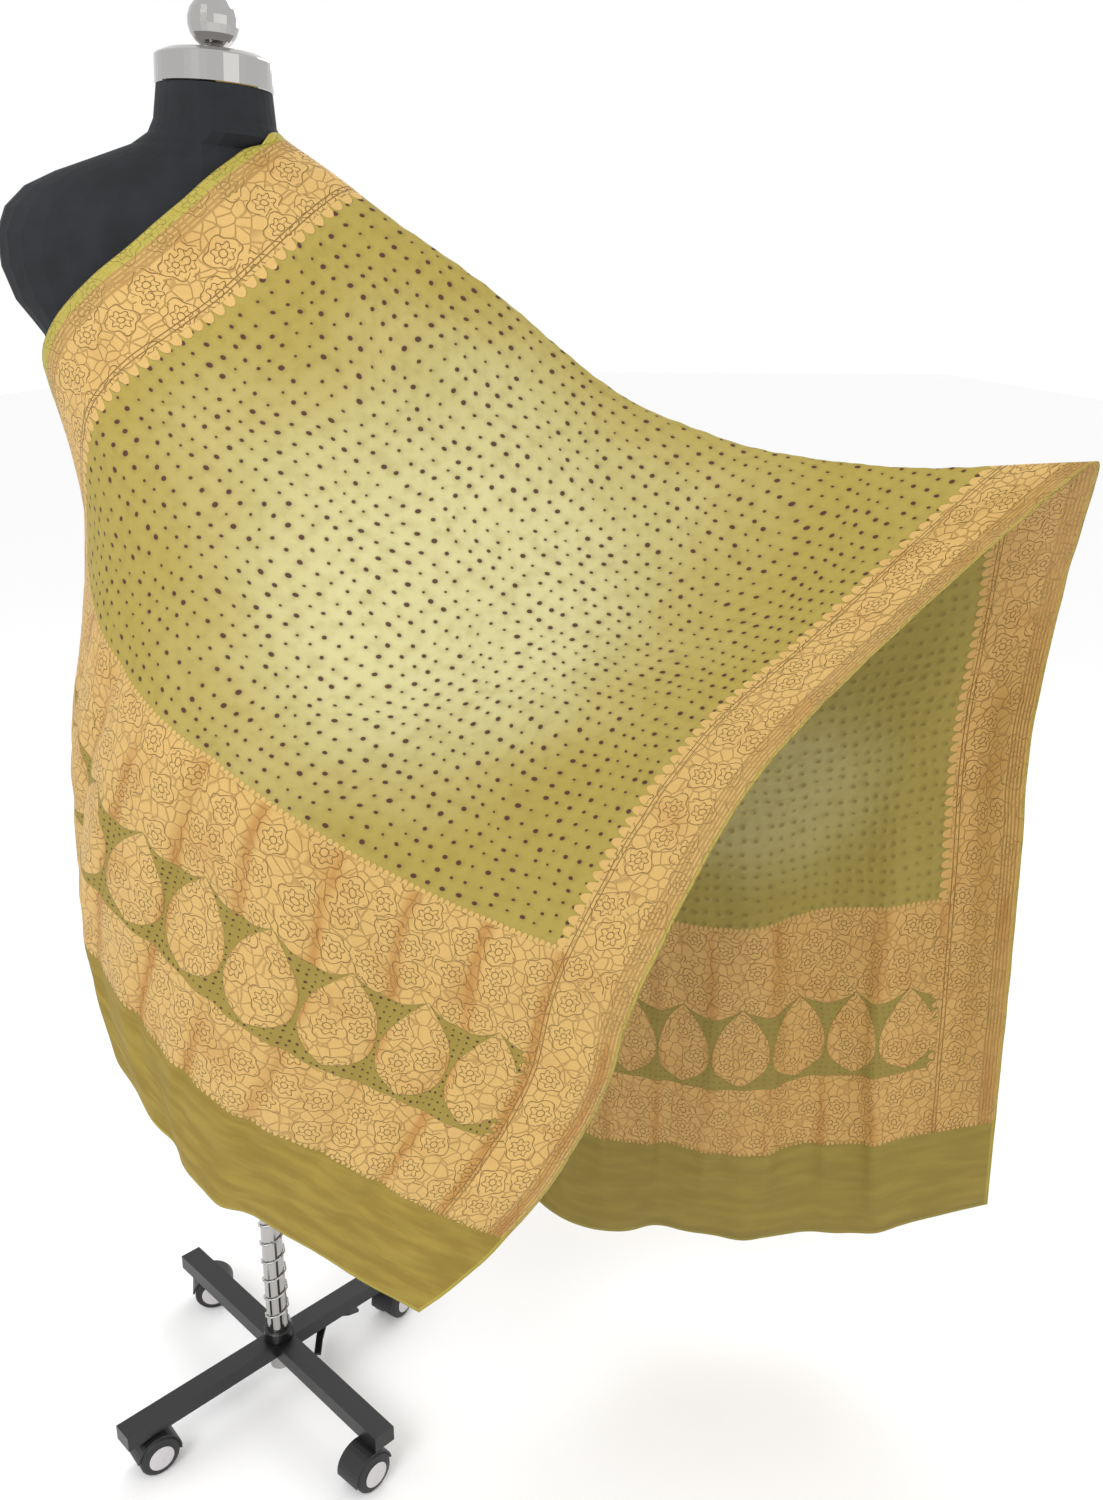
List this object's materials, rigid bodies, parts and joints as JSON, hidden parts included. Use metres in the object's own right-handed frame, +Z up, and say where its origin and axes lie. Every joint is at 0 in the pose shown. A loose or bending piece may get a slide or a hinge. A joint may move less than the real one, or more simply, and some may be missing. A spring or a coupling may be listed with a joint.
{
  "type": "bandhani dupatta on a dress form",
  "caption": "Long tie-dyed dupatta with a woven gold border, draped over one shoulder of a black dress form on a castor stand, its far edge held out.",
  "frame": {"origin": "middle of the underside of the whole, where the castors stand", "axes": "+Z up, front of the form toward -Y, the held corner toward +X"},
  "size_m": [1.1318, 0.4048, 1.6308],
  "materials": {
    "dupatta": "tie-dyed olive silk with a gold brocade border",
    "form_torso": "matt black jersey",
    "neck_cap": "bright plated",
    "neck_ball": "bright plated",
    "form_flange": "black paint",
    "pole": "bright plated",
    "pole_coil": "bright wire",
    "pole_collar": "black paint",
    "base_cross": "satin black paint",
    "foot_lever": "black paint",
    "castor_swivel_front_left": "moulded black",
    "castor_wheels_front_left": "moulded black with pale grey hub discs",
    "castor_swivel_front_right": "moulded black",
    "castor_wheels_front_right": "moulded black with pale grey hub discs",
    "castor_swivel_back_left": "moulded black",
    "castor_wheels_back_left": "moulded black with pale grey hub discs",
    "castor_swivel_back_right": "moulded black",
    "castor_wheels_back_right": "moulded black with pale grey hub discs"
  },
  "bodies": {
    "stand": {"dupatta": "dupatta", "form_torso": "form_torso", "neck_cap": "neck_cap", "neck_ball": "neck_ball", "form_flange": "form_flange", "pole": "pole", "pole_coil": "pole_coil", "pole_collar": "pole_collar", "base_cross": "base_cross", "foot_lever": "foot_lever"},
    "castor_front_left": {"castor_swivel_front_left": "castor_swivel_front_left"},
    "wheels_front_left": {"castor_wheels_front_left": "castor_wheels_front_left"},
    "castor_front_right": {"castor_swivel_front_right": "castor_swivel_front_right"},
    "wheels_front_right": {"castor_wheels_front_right": "castor_wheels_front_right"},
    "castor_back_left": {"castor_swivel_back_left": "castor_swivel_back_left"},
    "wheels_back_left": {"castor_wheels_back_left": "castor_wheels_back_left"},
    "castor_back_right": {"castor_swivel_back_right": "castor_swivel_back_right"},
    "wheels_back_right": {"castor_wheels_back_right": "castor_wheels_back_right"}
  },
  "joints": [
    {"name": "swivel_front_left", "type": "hinge", "parent": "stand", "child": "castor_front_left", "pos_m": [-0.5124, -0.1382, 0.05], "axis": [0, 0, 1], "continuous": true},
    {"name": "roll_front_left", "type": "hinge", "parent": "castor_front_left", "child": "wheels_front_left", "pos_m": [-0.49861, -0.12663, 0.02479], "axis": [0.6428, -0.766, 0], "continuous": true},
    {"name": "swivel_front_right", "type": "hinge", "parent": "stand", "child": "castor_front_right", "pos_m": [-0.2249, -0.1357, 0.05], "axis": [0, 0, 1], "continuous": true},
    {"name": "roll_front_right", "type": "hinge", "parent": "castor_front_right", "child": "wheels_front_right", "pos_m": [-0.23671, -0.14929, 0.02479], "axis": [0.7547, -0.6561, 0], "continuous": true},
    {"name": "swivel_back_left", "type": "hinge", "parent": "stand", "child": "castor_back_left", "pos_m": [-0.5149, 0.1493, 0.05], "axis": [0, 0, 1], "continuous": true},
    {"name": "roll_back_left", "type": "hinge", "parent": "castor_back_left", "child": "wheels_back_left", "pos_m": [-0.49751, 0.15396, 0.02479], "axis": [0.2588, -0.9659, 0], "continuous": true},
    {"name": "swivel_back_right", "type": "hinge", "parent": "stand", "child": "castor_back_right", "pos_m": [-0.2274, 0.1518, 0.05], "axis": [0, 0, 1], "continuous": true},
    {"name": "roll_back_right", "type": "hinge", "parent": "castor_back_right", "child": "wheels_back_right", "pos_m": [-0.2364, 0.13621, 0.02479], "axis": [0.866, -0.5, 0], "continuous": true}
  ]
}
